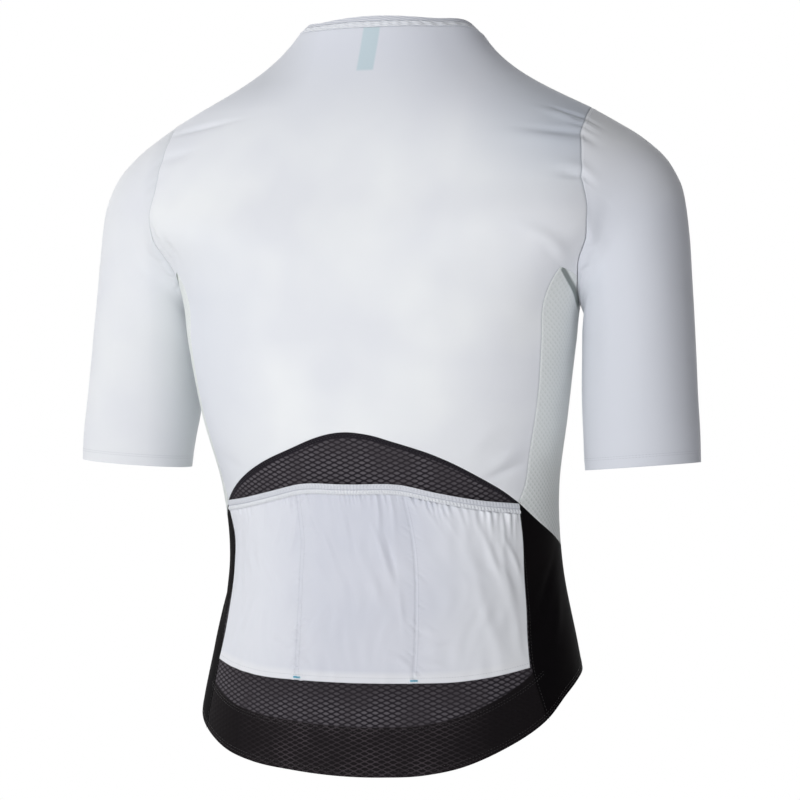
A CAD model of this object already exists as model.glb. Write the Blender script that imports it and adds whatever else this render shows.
# %% [markdown]
# # Dressing a cycling jersey
# The solids of this jersey have the right shape and size, but their cloth is plain. This lesson
# loads them as a fixed frame and makes each cloth again as a thin shell in the same place, with
# its creases, its knit or mesh, and its stitches.

# %% Load the frame
import math
from collections import namedtuple

import bpy
import numpy as np
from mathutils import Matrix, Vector


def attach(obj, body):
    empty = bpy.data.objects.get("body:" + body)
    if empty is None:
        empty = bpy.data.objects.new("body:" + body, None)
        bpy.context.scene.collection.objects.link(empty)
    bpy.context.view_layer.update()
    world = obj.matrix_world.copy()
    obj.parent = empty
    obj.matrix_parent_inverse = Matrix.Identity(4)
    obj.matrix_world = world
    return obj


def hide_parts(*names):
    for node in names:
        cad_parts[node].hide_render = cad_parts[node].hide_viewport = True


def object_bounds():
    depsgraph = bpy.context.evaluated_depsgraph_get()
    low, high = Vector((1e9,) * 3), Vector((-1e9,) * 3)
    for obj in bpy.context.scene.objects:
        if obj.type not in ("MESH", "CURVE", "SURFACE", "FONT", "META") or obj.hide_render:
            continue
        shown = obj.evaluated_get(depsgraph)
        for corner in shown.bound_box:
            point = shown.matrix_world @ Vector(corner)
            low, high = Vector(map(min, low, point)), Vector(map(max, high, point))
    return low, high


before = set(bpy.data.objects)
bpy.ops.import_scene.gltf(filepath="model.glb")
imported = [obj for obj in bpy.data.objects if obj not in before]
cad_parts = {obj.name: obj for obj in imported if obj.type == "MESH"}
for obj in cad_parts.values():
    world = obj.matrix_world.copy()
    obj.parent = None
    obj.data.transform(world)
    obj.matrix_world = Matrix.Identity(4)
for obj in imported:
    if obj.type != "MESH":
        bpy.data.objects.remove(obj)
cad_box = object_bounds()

print("box in mm:", [round(1000 * (b - a)) for a, b in zip(*cad_box)])

# %% [markdown]
# All cloth of the body lies on one surface, the torso. A place on it has an angle round the
# body in degrees, 0 at the centre back and positive to the wearer's left, and a level. Below the
# shoulders the level is the height. Above them it runs along the cloth up to the neck seam,
# where it is 0. The tables are the jersey's own sizes, the same as its solids have: in metres,
# or in millimetres where a table's units say so.

# %% Sizes of the torso
def table(kind, units, rows):
    """Rows of numbers as named values, each column in its own unit."""
    return [kind(*(value * unit for value, unit in zip(row, units))) for row in rows]


MM = 0.001
SHOULDER_LEVEL = -0.100
LAYER = 0.0015          # from one cloth's outer face to the next one lying on it
Section = namedtuple("Section", "height half_width centre_y back_y front_y squareness")
SECTIONS = table(Section, (MM, MM, MM, MM, MM, 1), [
    (-100, 226, -34, 90, -117, 2.75), (-140, 208.5, -7, 99, -124, 3),
    (-170, 187, 10, 103, -129, 2.4), (-200, 175.7, 11, 104.5, -132, 2.35),
    (-235, 170.3, 10, 104.5, -136, 2.3), (-300, 160.7, -1, 99, -139, 2.2),
    (-360, 149.5, -22, 87, -140, 2.15), (-430, 149.5, -41, 75, -140, 2.1),
    (-500, 163.5, -41, 76, -142, 2.1), (-560, 175, -38, 79, -146, 2.1),
    (-620, 179, -38, 81, -148, 2.1),
])
NECK_HALF_WIDTH = 0.088
NECK_CENTRE_Y = -0.037
NECK_BACK_DEPTH = 0.066
NECK_FRONT_DEPTH = 0.070
NECK_SQUARENESS = (2.0, 2.5)        # back half, front half
NECK_HEIGHTS = [(0, 0.036), (45, 0.0365), (72, 0.0360), (90, 0.0245), (107, 0.0110),
                (140, -0.0180), (180, -0.0450)]
SLOPE_BACK = 25.0       # how the cloth leaves the neck, measured from straight down
SLOPE_SIDE = 35.5
SLOPE_FRONT = 12.0
NECK_REACH = 1.30
CHEST_REACH = 1.32
CLOTH_RADIUS = 0.15     # turns an angle into a length along the cloth
DEGREE = math.radians(1) * CLOTH_RADIUS
print("torso rings:", len(SECTIONS))

# %% [markdown]
# Each level of the torso is an oval, a little squared and deeper in front than behind, and smooth
# curves run from one oval to the next. Above the shoulders the cloth turns in to the neck seam
# along a curve that leaves each end in its own direction. Formulas give every panel the same
# surface, however fine its net is.

# %% The torso surface
def stacked(*parts):
    """Numbers side by side along one more axis."""
    return np.stack(np.broadcast_arrays(*parts), -1)


def bend(start, end, start_pull, end_pull, s):
    """A smooth run from start to end that leaves and arrives along the pulls."""
    return ((2 * s**3 - 3 * s**2 + 1) * start + (s**3 - 2 * s**2 + s) * start_pull
            + (3 * s**2 - 2 * s**3) * end + (s**3 - s**2) * end_pull)


def smooth(x, knots, values):
    """Values of a smooth curve through the given knots, which run upwards."""
    knots = np.asarray(knots, float)
    values = np.asarray(values, float)
    slopes = np.gradient(values, knots)
    x = np.clip(x, knots[0], knots[-1])
    i = np.clip(np.searchsorted(knots, x, side="right") - 1, 0, len(knots) - 2)
    step = knots[i + 1] - knots[i]
    return bend(values[i], values[i + 1], step * slopes[i], step * slopes[i + 1],
                (x - knots[i]) / step)


def by_angle(rows, angle):
    """A (angle, value) table read at the angle, the same on both sides of the body."""
    knots, values = zip(*rows)
    return smooth(np.abs(angle), knots, values)


def oval(angle, half_width, centre_y, back_y, front_y, squareness):
    """Plan position at a polar angle on a squared oval with its own front and back depth."""
    turn = np.radians(angle)
    depth = np.where(np.cos(turn) > 0, back_y - centre_y, centre_y - front_y)
    reach = (np.abs(np.sin(turn) / half_width) ** squareness
             + np.abs(np.cos(turn) / depth) ** squareness) ** (-1 / squareness)
    return reach * np.sin(turn), centre_y + reach * np.cos(turn)


def ring(angle, height):
    """A place on the torso below the shoulders."""
    rows = SECTIONS[::-1]
    heights = [row.height for row in rows]
    sizes = [smooth(height, heights, [row[k] for row in rows]) for k in range(1, 6)]
    x, y = oval(angle, *sizes)
    return stacked(x, y, height)


def neck(angle):
    """A place on the neck seam."""
    squareness = np.where(np.abs(angle) < 90, *NECK_SQUARENESS)
    x, y = oval(angle, NECK_HALF_WIDTH, NECK_CENTRE_Y, NECK_CENTRE_Y + NECK_BACK_DEPTH,
                NECK_CENTRE_Y - NECK_FRONT_DEPTH, squareness)
    return stacked(x, y, by_angle(NECK_HEIGHTS, angle))


def unit(vectors):
    return vectors / np.linalg.norm(vectors, axis=-1, keepdims=True)


def torso(angle, level):
    """The smooth torso surface at angles and levels."""
    angle, level = np.broadcast_arrays(np.asarray(angle, float), np.asarray(level, float))
    below = ring(angle, np.minimum(level, SHOULDER_LEVEL))
    start = neck(angle)
    end = ring(angle, np.full(angle.shape, SHOULDER_LEVEL))
    chord = np.linalg.norm(end - start, axis=-1, keepdims=True)
    turn = np.radians(angle)
    plain = np.where(np.cos(turn) > 0, SLOPE_BACK, SLOPE_FRONT)
    slope = np.radians(plain + (SLOPE_SIDE - plain) * np.sin(turn) ** 2)
    start_pull = chord * NECK_REACH * stacked(
        np.sin(turn) * np.sin(slope), np.cos(turn) * np.sin(slope), -np.cos(slope))
    just_below = ring(angle, np.full(angle.shape, SHOULDER_LEVEL - 0.005))
    end_pull = chord * CHEST_REACH * unit(just_below - end)
    above = bend(start, end, start_pull, end_pull, (level / SHOULDER_LEVEL)[..., None])
    return np.where((level < SHOULDER_LEVEL)[..., None], below, above)


def outward(angle, level):
    """Unit normals of the torso surface, pointing away from the wearer."""
    angle_step, level_step = 0.5, 0.001
    round_it = torso(angle + angle_step, level) - torso(angle - angle_step, level)
    up_it = torso(angle, level + level_step) - torso(angle, level - level_step)
    return unit(np.cross(up_it, round_it))


print("waist width in mm:", round(2000 * float(ring(90.0, np.array(-0.43))[0])))

# %% [markdown]
# A crease is a long soft ridge or valley that fades at its ends. Cloth could be dropped on a
# body by simulation, but a jersey is stretched on its wearer, so its creases are few and lie
# where a seam pulls. They are placed by hand: middle, tilt from level, half length, half width,
# and depth, where out is positive. The first eight rows are the broad folds of the solids.

# %% Creases of the body
Crease = namedtuple("Crease", "angle level tilt half_length half_width depth")
CREASE_UNITS = (1, MM, 1, MM, MM, MM)
CREASES = table(Crease, CREASE_UNITS, [
    (-76, -205, -62, 46, 18, -2.2), (-62, -150, -48, 50, 20, -2), (74, -200, 50, 46, 18, -2.2),
    (60, -215, 40, 55, 20, -1.8), (-112, -210, 55, 45, 18, -2.2), (112, -210, -55, 45, 18, -2.2),
    (-150, -400, 12, 60, 22, 2), (150, -425, -12, 60, 22, 2),
    # right armhole, from the top down
    (-65.6, -62.5, 28, 8, 1.6, -2.6), (-64, -66.5, 26, 12, 3.2, 1.8),
    (-65.1, -67.8, 25, 4, 1.1, -1.4), (-64.9, -71.2, 20, 5, 1.1, -1.5),
    (-60.5, -76.4, 6, 18, 2.4, -2.2), (-57, -80, 6, 22, 5, 1.2), (-62.6, -95, 6, 9, 2.6, 1.4),
    (-63.2, -98.5, 6, 7, 1.8, -2.2), (-67.4, -154, 29, 20, 4.4, 3), (-69.5, -160, 34, 14, 3, -1.8),
    (-85, -187, 30, 16, 4, -2.2),
    # left armhole
    (73.1, -150, -66, 18, 2.8, -4.2), (68.8, -153, -75, 8, 2, -3.4), (70.5, -156, -70, 12, 2.4, 1),
    (56, -66.5, -9, 24, 2.4, -1.8), (59.5, -85, -9, 14, 2.8, -1.8), (65.6, -76, -12, 4, 1.2, -0.9),
    (64.2, -96, -4, 4, 1.2, -0.8),
    # waist, beside the arch
    (-61, -346.5, -18, 18, 3, -2.2), (-62, -335, -26, 16, 5, 1.8), (-58, -359, -30, 10, 2.6, -0.9),
    (-55, -318, -40, 20, 6, 0.8), (58, -340, 24, 18, 5, -1),
    # black side panels
    (-76, -448, -50, 30, 5, -2), (-80, -470, -62, 24, 6, 1.2), (77, -455, 54, 28, 6, -1.8),
    # front of the armholes
    (104, -80, -14, 14, 2.4, -1.2), (-104.5, -86, 12, 12, 2.2, -1.1), (107, -156, -32, 20, 4, 1.4),
    (-106, -150, 36, 18, 3.6, 1.4),
])


def crease_depth(angle, level, creases=CREASES, radius=CLOTH_RADIUS):
    """How far the creases move the cloth out."""
    depth = np.zeros(np.broadcast(angle, level).shape)
    for crease in creases:
        tilt = math.radians(crease.tilt)
        across = np.radians(angle - crease.angle) * radius
        rise = level - crease.level
        along = across * math.cos(tilt) + rise * math.sin(tilt)
        aside = rise * math.cos(tilt) - across * math.sin(tilt)
        depth += crease.depth * np.exp(-(along / crease.half_length) ** 2
                                       - (aside / crease.half_width) ** 2)
    return depth


def skin(spots, out=0.0):
    """Places on the cloth at (angle, level) spots, moved out by a distance."""
    angle, level = spots[..., 0], spots[..., 1]
    move = crease_depth(angle, level) + out
    return torso(angle, level) + outward(angle, level) * move[..., None]


print("creases:", len(CREASES))

# %% [markdown]
# The seams are the jersey's pattern lines, given as (angle, level) rows for the wearer's left
# half. A net of spots fills the space between four seams, so neighbouring panels share their
# edges. The nets here are eight times finer than those of the solids.

# %% Seams
FINE = 8
SHOULDER_SEAM = [(104, 0.0), (95, -0.025), (88, -0.046)]
ARMHOLE_BACK = [(88, -0.046), (80, -0.050), (73, -0.057), (67.5, -0.0665), (64.0, -0.078),
                (63.9, -0.0905), (66.2, -0.1035), (69.5, -0.121), (73, -0.140), (77.5, -0.154),
                (82.5, -0.170), (86, -0.181)]
HORN = [(86, -0.181), (76.8, -0.1742)]
ARMHOLE_UNDER = [(86, -0.181), (88.5, -0.188), (92, -0.196), (96.5, -0.2015),
                 (100.5, -0.196), (103, -0.1835)]
ARMHOLE_FRONT = [(88, -0.046), (95, -0.048), (103, -0.062), (109, -0.088), (113, -0.118),
                 (114.5, -0.145), (111, -0.168), (103, -0.1835)]
SIDE_BACK = [(76.8, -0.1742), (74.6, -0.195), (74.6, -0.236), (74.3, -0.285), (72.0, -0.327),
             (69.6, -0.359), (66.7, -0.3718)]
SIDE_FRONT = [(103, -0.1835), (111, -0.240), (117, -0.340), (122, -0.430)]
SLANT = [(66.7, -0.3718), (75, -0.387), (88, -0.403), (105, -0.419), (122, -0.430)]
ARCH = [(-66.7, -0.3718), (-60, -0.3602), (-54, -0.3516), (-43, -0.3371), (-36, -0.3300),
        (-27, -0.3234), (-20, -0.3192), (-13, -0.3152), (-6, -0.3128), (2, -0.3119),
        (9, -0.3133), (16, -0.3166), (28, -0.3257), (43, -0.3388), (54, -0.3522),
        (60, -0.3612), (66.7, -0.3718)]
TAIL_EDGE = {1: [(66.7, -0.3718), (64.0, -0.410), (63.8, -0.430), (66.0, -0.460),
                 (66.0, -0.510), (68.5, -0.573)],
             -1: [(66.7, -0.3718), (66.8, -0.388), (66.7, -0.424), (66.2, -0.460),
                  (65.2, -0.509), (69.0, -0.5555)]}
FRONT_SIDE_ANGLE = 122.0
HEM = [(-180, -0.490), (-122, -0.503), (-96, -0.5175), (-84, -0.5276), (-77, -0.5376),
       (-69, -0.5555), (-55, -0.5780), (-42, -0.5925), (-29, -0.5995), (-12, -0.6022),
       (8, -0.6022), (27, -0.5994), (44, -0.5950), (55, -0.5885), (68.5, -0.5730),
       (78, -0.5610), (90, -0.5450), (122, -0.510), (180, -0.490)]
SHOULDER_SEGMENTS = 4 * FINE
ARMHOLE_SEGMENTS = 16 * FINE
HORN_SEGMENTS = 2 * FINE
UNDER_SEGMENTS = 4 * FINE
SIDE_SEGMENTS = 10 * FINE
TAIL_SEGMENTS = 12 * FINE
BACK_STRIP_SEGMENTS = 2 * FINE
BACK_CENTRE_SEGMENTS = 18 * FINE
FRONT_SEGMENTS = 8 * FINE
StripEnd = namedtuple("StripEnd", "place angle lift")
STRIP_ENDS = table(StripEnd, (1, 1, MM), [
    (0, 82, 0), (4, 70, 0), (8, 52, 0), (12, 62, 30), (14, 64, 16), (24, 58, 15),
])
ZIP_CHAIN_HALF = 0.0022
ZIP_TAPE_HALF = 0.0078
SEAM_GAP = 0.0003


def seam(rows, segments):
    """A smooth seam through (angle, level) rows, cut into equal lengths."""
    rows = np.asarray(rows, float)
    scale = np.array([DEGREE, 1.0])
    run = np.concatenate([[0], np.cumsum(np.linalg.norm(np.diff(rows * scale, axis=0), axis=1))])
    spots = np.linspace(0, run[-1], segments + 1)
    read = np.interp if len(rows) == 2 else smooth
    return stacked(*(read(spots, run, column) for column in rows.T))


def of_side(rows, segments, side):
    """A seam of the left half, mirrored for the right half where side is -1."""
    return seam(rows, segments) * np.array([side, 1.0])


def joined(*runs):
    """Seams laid end to end, without their repeated joints."""
    return np.concatenate([runs[0]] + [run[1:] for run in runs[1:]])


def net(left, right, top, bottom):
    """A net of spots between four seams; its rows run down and its columns left to right."""
    down = np.linspace(0, 1, len(left))[:, None, None]
    along = np.linspace(0, 1, len(top))[None, :, None]
    across = (1 - along) * left[:, None] + along * right[:, None]
    downward = (1 - down) * top[None] + down * bottom[None]
    corners = ((1 - down) * ((1 - along) * top[0] + along * top[-1])
               + down * ((1 - along) * bottom[0] + along * bottom[-1]))
    return across + downward - corners


def hem_spots(first, last, segments):
    """Spots along the hem's edge between two angles."""
    angles = np.linspace(first, last, segments + 1)
    return stacked(angles, smooth(angles, *zip(*HEM)))


def front_angle(half, level):
    """The angle at which the front lies a given distance left of the zip's middle."""
    angle = np.full(np.shape(level), 176.0)
    for _ in range(6):
        angle = 180.0 - (180.0 - angle) * half / torso(angle, level)[..., 0]
    return angle


print("armhole seam in mm:", round(1000 * float(np.linalg.norm(np.diff(
    skin(seam(ARMHOLE_BACK, 60)), axis=0), axis=1).sum())))

# %% [markdown]
# A panel's net hangs between its four seams: each spot follows from those straight across from it
# on all four. The back is three such nets side by side, because one alone would be pinched by
# the deep curve of the armholes.

# %% Panel nets
def arch_seam():
    """The arch from the wearer's right to left, in the back panel's columns."""
    edge, outer = STRIP_ENDS[-1].angle, SLANT[0][0]
    angles = np.concatenate([np.linspace(-outer, -edge, BACK_STRIP_SEGMENTS + 1),
                             np.linspace(-edge, edge, BACK_CENTRE_SEGMENTS + 1)[1:],
                             np.linspace(edge, outer, BACK_STRIP_SEGMENTS + 1)[1:]])
    return stacked(angles, smooth(angles, *zip(*ARCH)))


def back_net():
    """The back panel: a strip beside each armhole and the broad middle between them.

    Places along the outer edge count 4 over the shoulder, 12 to the horn's foot, 24 in all.
    """
    edge = joined(seam(SHOULDER_SEAM, SHOULDER_SEGMENTS), seam(ARMHOLE_BACK, ARMHOLE_SEGMENTS),
                  seam(HORN, HORN_SEGMENTS), seam(SIDE_BACK, SIDE_SEGMENTS))
    places, angles, lifts = zip(*STRIP_ENDS)
    rows = joined(np.linspace(0, 4, SHOULDER_SEGMENTS + 1),
                  np.linspace(4, 12, ARMHOLE_SEGMENTS + 1),
                  np.linspace(12, 24, HORN_SEGMENTS + SIDE_SEGMENTS + 1))
    inner = stacked(np.interp(rows, places, angles), edge[:, 1] + np.interp(rows, places, lifts))
    arch = arch_seam()
    inner[-1] = arch[-1 - BACK_STRIP_SEGMENTS]
    flip = np.array([-1.0, 1.0])
    guides = (edge * flip, inner * flip, inner, edge)
    counts = (BACK_STRIP_SEGMENTS, BACK_CENTRE_SEGMENTS, BACK_STRIP_SEGMENTS)
    parts, first = [], 0
    for left, right, count in zip(guides, guides[1:], counts):
        top = stacked(np.linspace(left[0, 0], right[0, 0], count + 1), 0.0)
        parts.append(net(left, right, top, arch[first:first + count + 1]))
        first += count
    return np.concatenate([parts[0], parts[1][:, 1:], parts[2][:, 1:]], axis=1)


def facing_out(spots, side):
    """Columns in the order of rising angle, which points the faces out."""
    return spots if side > 0 else spots[:, ::-1]


def side_mesh_net(side):
    top = joined(of_side(HORN, HORN_SEGMENTS, side)[::-1],
                 of_side(ARMHOLE_UNDER, UNDER_SEGMENTS, side))
    bottom = of_side(SLANT, HORN_SEGMENTS + UNDER_SEGMENTS, side)
    return facing_out(net(of_side(SIDE_BACK, SIDE_SEGMENTS, side),
                          of_side(SIDE_FRONT, SIDE_SEGMENTS, side), top, bottom), side)


def side_lower_net(side):
    rear = of_side(TAIL_EDGE[side], TAIL_SEGMENTS, side)
    top = of_side(SLANT, HORN_SEGMENTS + UNDER_SEGMENTS, side)
    bottom = hem_spots(rear[-1, 0], side * FRONT_SIDE_ANGLE, HORN_SEGMENTS + UNDER_SEGMENTS)
    return facing_out(net(rear, np.linspace(top[-1], bottom[-1], TAIL_SEGMENTS + 1), top,
                          bottom), side)


def tail_net():
    """The mesh tail from the arch to the hem, behind the pockets."""
    right, left = (of_side(TAIL_EDGE[side], TAIL_SEGMENTS, side) for side in (-1, 1))
    arch = arch_seam()
    hem = hem_spots(right[-1, 0], left[-1, 0], len(arch) - 1)
    return net(right, left, arch, hem)


def front_net(side):
    hem_corner = hem_spots(side * FRONT_SIDE_ANGLE, side * 180, 1)[0]
    lower = np.linspace((side * FRONT_SIDE_ANGLE, SLANT[-1][1]), hem_corner, TAIL_SEGMENTS + 1)
    outer = joined(of_side(SHOULDER_SEAM, SHOULDER_SEGMENTS, side),
                   of_side(ARMHOLE_FRONT, ARMHOLE_SEGMENTS, side),
                   of_side(SIDE_FRONT, SIDE_SEGMENTS, side), lower)
    levels = outer[:, 1] * HEM[-1][1] / outer[-1, 1]
    edge = stacked(side * front_angle(ZIP_TAPE_HALF + SEAM_GAP, levels), levels)
    top = np.linspace(outer[0], edge[0], FRONT_SEGMENTS + 1)
    bottom = hem_spots(outer[-1, 0], edge[-1, 0], FRONT_SEGMENTS)
    bottom[0], bottom[-1] = outer[-1], edge[-1]
    return facing_out(net(outer, edge, top, bottom), side)


print("back panel net:", back_net().shape, "tail net:", tail_net().shape)

# %% [markdown]
# A cloth is a grid of points, thickened inwards by a Solidify modifier. The grid keeps two maps:
# "cloth" gives metres across and up the cloth, for knit and mesh patterns, and "border" gives
# the distance from the upper and the lower edge. The point attribute "seam" is the distance to
# the nearest edge. Edges are marked sharp, so the cut edge doesn't spoil the shading beside it.

# %% Grids into cloth
CLOTH = 0.0007          # thickness of the shells
pieces = {}


def run_lengths(points, axis):
    """Distances walked along an axis of a grid, starting at its first line."""
    steps = np.linalg.norm(np.diff(points, axis=axis), axis=-1)
    pad = [(0, 0), (0, 0)]
    pad[axis] = (1, 0)
    return np.cumsum(np.pad(steps, pad), axis=axis)


def cloth_maps(points, upright):
    """Metres across and up each point, and its distances from the upper and lower edge."""
    flat = points * np.array([1.0, 1.0, 0.0]) if upright else points
    across = run_lengths(flat, 1)
    across -= across[:, across.shape[1] // 2][:, None]
    down = run_lengths(points, 0)
    up = points[..., 2] if upright else -down
    return stacked(across, up), stacked(down, down[-1] - down)


def show(name, data):
    """Puts new data in the scene as an object."""
    obj = bpy.data.objects.new(name, data)
    bpy.context.scene.collection.objects.link(obj)
    return obj


def enlist(obj):
    """Puts a finished piece on the jersey's body, with its record slot."""
    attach(obj, "jersey")
    pieces[obj.name] = obj


def grid_mesh(name, points, tube=False, upright=True):
    """A mesh through a grid of points, with its maps; a tube's last column is its first."""
    rows, columns = points.shape[:2]
    around = columns - 1 if tube else columns
    i, j = np.mgrid[0:rows - 1, 0:columns - 1]
    corners = np.stack([(i, j), (i, j + 1), (i + 1, j + 1), (i + 1, j)], 0)
    corners = corners.transpose(2, 3, 0, 1).reshape(-1, 2)
    index = corners[:, 0] * around + corners[:, 1] % around
    mesh = bpy.data.meshes.new(name)
    mesh.from_pydata(points[:, :around].reshape(-1, 3).tolist(), [],
                     index.reshape(-1, 4).tolist())
    across_up, border = cloth_maps(points, upright)
    for layer, values in (("cloth", across_up), ("border", border)):
        uv = mesh.uv_layers.new(name=layer)
        uv.data.foreach_set("uv", values[corners[:, 0], corners[:, 1]].ravel())
    walked = run_lengths(points, 1)
    sides = np.minimum(walked, walked[:, -1:] - walked)
    distance = border.min(-1) if tube else np.minimum(border.min(-1), sides)
    mesh.attributes.new("seam", "FLOAT", "POINT").data.foreach_set(
        "value", distance[:, :around].ravel())
    mesh.shade_smooth()
    keys = np.zeros(len(mesh.loops), int)
    mesh.loops.foreach_get("edge_index", keys)
    open_edge = np.bincount(keys, minlength=len(mesh.edges)) == 1
    mesh.attributes.new("sharp_edge", "BOOLEAN", "EDGE").data.foreach_set("value", open_edge)
    return mesh


def cloth(name, points, finish, wall=CLOTH, tube=False, upright=True):
    """A thin shell of cloth through the points, in place of the solid of the same name."""
    mesh = grid_mesh(name, points, tube, upright)
    mesh.materials.append(finish)
    obj = show(name + "_cloth", mesh)
    solidify = obj.modifiers.new("Cloth wall", "SOLIDIFY")
    solidify.thickness = wall
    solidify.offset = -1.0
    solidify.use_even_offset = False
    enlist(obj)
    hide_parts(name)
    print(f"{obj.name}: {len(mesh.polygons)} faces")


def grid_normals(points, tube=False):
    """Outward unit normals of a grid of points."""
    right = np.gradient(points, axis=1)
    if tube:
        ends = points[:, 1] - points[:, -2]
        right[:, 0] = right[:, -1] = ends / 2
    down = np.gradient(points, axis=0)
    return unit(np.cross(right, down))


print("cloth wall in mm:", 1000 * CLOTH)

# %% [markdown]
# Where two cloths are sewn together the seam sinks a little, because the thread pulls both
# edges down. Each panel gets one more row and column close to its edges, and its edge is lowered
# by 0.4 mm, which leaves a fine groove along every seam.

# %% Seam grooves
SEAM_SINK = 0.0004
EDGE_SHARE = 0.35       # of the first cell, where the extra row lies


def with_edge_lines(lines, last=True):
    """A net with one more line near its first edge, and near its last where that is sewn."""
    near = lines[0] + (lines[1] - lines[0]) * EDGE_SHARE
    far = [lines[-1] + (lines[-2] - lines[-1]) * EDGE_SHARE] if last else []
    return np.stack([lines[0], near, *lines[1:-1], *far, lines[-1]])


def panel_points(spots, last=True):
    """Points of a panel of the body, sunk into grooves at its sewn edges."""
    spots = with_edge_lines(spots, last)
    spots = with_edge_lines(spots.swapaxes(0, 1)).swapaxes(0, 1)
    out = np.zeros(spots.shape[:2])
    out[0] = out[:, 0] = out[:, -1] = -SEAM_SINK
    if last:
        out[-1] = -SEAM_SINK
    return skin(spots, out)


print("groove depth in mm:", 1000 * SEAM_SINK)

# %% [markdown]
# Finishes come next. One function turns an sRGB hex colour into linear numbers, and one adds a
# node with its settings and links. Most finishes here are layers of close tints. Each tint shows
# where all of its ramps do: a ramp names a measure, where it starts and where it is full.

# %% Colour and node helpers
def linear(hex_colour):
    """An sRGB hex colour as linear red, green, blue and alpha."""
    parts = [int(hex_colour[k:k + 2], 16) / 255 for k in (1, 3, 5)]
    return (*[p / 12.92 if p <= 0.04045 else ((p + 0.055) / 1.055) ** 2.4 for p in parts], 1.0)


def add(tree, kind, inputs=(), **settings):
    """Adds one node.

    Inputs are values, hex colours, outputs or nodes, in the order of the sockets, or in a
    dictionary by socket name or place.
    """
    node = tree.nodes.new(kind)
    for name, value in settings.items():
        setattr(node, name, value)
    if not isinstance(inputs, dict):
        inputs = dict(enumerate(inputs))
    for socket, value in inputs.items():
        if isinstance(value, bpy.types.Node):
            value = value.outputs[2 if value.bl_idname == "ShaderNodeMix" else 0]
        if isinstance(value, bpy.types.NodeSocket):
            tree.links.new(value, node.inputs[socket])
        else:
            in_hex = isinstance(value, str) and value.startswith("#")
            node.inputs[socket].default_value = linear(value) if in_hex else value
    return node


def new_finish(name, roughness, **settings):
    """A material with a Principled surface, and its tree."""
    finish = bpy.data.materials.new(name)
    finish.use_nodes = True
    surface = finish.node_tree.nodes["Principled BSDF"]
    surface.inputs["Roughness"].default_value = roughness
    for socket, value in settings.items():
        surface.inputs[socket.replace("_", " ")].default_value = value
    return finish, finish.node_tree


def measures(tree):
    """What a finish can follow: the place, metres along the cloth, and metres from its edges."""
    place = add(tree, "ShaderNodeTexCoord").outputs["Object"]
    x, y, z = add(tree, "ShaderNodeSeparateXYZ", (place,)).outputs
    cloth_place = add(tree, "ShaderNodeUVMap", uv_map="cloth")
    across, up, _ = add(tree, "ShaderNodeSeparateXYZ", (cloth_place,)).outputs
    border = add(tree, "ShaderNodeUVMap", uv_map="border")
    from_top, from_foot, _ = add(tree, "ShaderNodeSeparateXYZ", (border,)).outputs
    return {"place": place, "x": x, "y": y, "z": z, "cloth": cloth_place,
            "aside": add(tree, "ShaderNodeMath", (x,), operation="ABSOLUTE"),
            "across": across, "up": up, "from top": from_top, "from foot": from_foot,
            "from seam": add(tree, "ShaderNodeAttribute", attribute_name="seam").outputs["Fac"]}


def layered(tree, at, colour, layers):
    """Lays tints over a colour, each where all of its ramps (measure, low, high, ...) show."""
    for tint, *ramps in layers:
        share = None
        for measure, *limits in ramps:
            step = add(tree, "ShaderNodeMapRange", (at[measure], *limits))
            share = step if share is None else add(tree, "ShaderNodeMath", (share, step),
                                                   operation="MULTIPLY")
        colour = add(tree, "ShaderNodeMix", {0: share, 6: colour, 7: tint}, data_type="RGBA")
    return colour


def dress(tree, colour, height=None, strength=0.4, distance=0.0001, invert=False):
    """Gives the surface its colour, and a bump where there is a height."""
    surface = tree.nodes["Principled BSDF"]
    tree.links.new(colour.outputs[2], surface.inputs["Base Color"])
    if height:
        bump = add(tree, "ShaderNodeBump", {"Strength": strength, "Distance": distance,
                                            "Height": height}, invert=invert)
        tree.links.new(bump.outputs[0], surface.inputs["Normal"])


def cloudy_finish(name, roughness, size, light, dark, **settings):
    """A material whose tone is a little uneven, in clouds of a size."""
    finish, tree = new_finish(name, roughness, **settings)
    place = add(tree, "ShaderNodeTexCoord").outputs["Object"]
    cloudy = add(tree, "ShaderNodeTexNoise", {"Vector": place, "Scale": 1 / size})
    dress(tree, add(tree, "ShaderNodeMix", {0: cloudy, 6: light, 7: dark}, data_type="RGBA"))
    return finish


def ribbon_finish(name, roughness, sheen, low, high, distance, bands, **wave):
    """A woven ribbon or tape whose threads run in bands."""
    finish, tree = new_finish(name, roughness, Sheen_Weight=sheen)
    at = measures(tree)
    at["threads"] = add(tree, "ShaderNodeTexWave", {"Vector": at["cloth"], **wave},
                        bands_direction=bands)
    colour = layered(tree, at, low, [(high, ("threads", 0.0, 1.0))])
    dress(tree, colour, at["threads"], distance=distance)
    return finish


print("knit white, linear:", [round(c, 3) for c in linear("#E6E8EC")])

# %% [markdown]
# The jersey's main cloth is a white warp knit of nylon and elastane, light and matt, with a
# faint sheen. Its loops are about 0.3 mm wide, too fine to show, so they are drawn as a soft
# grain of 1.2 mm. Broad, very faint patches and tints stand for the light that comes through the
# thin cloth, and the groove of each seam is a little darker.

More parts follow.
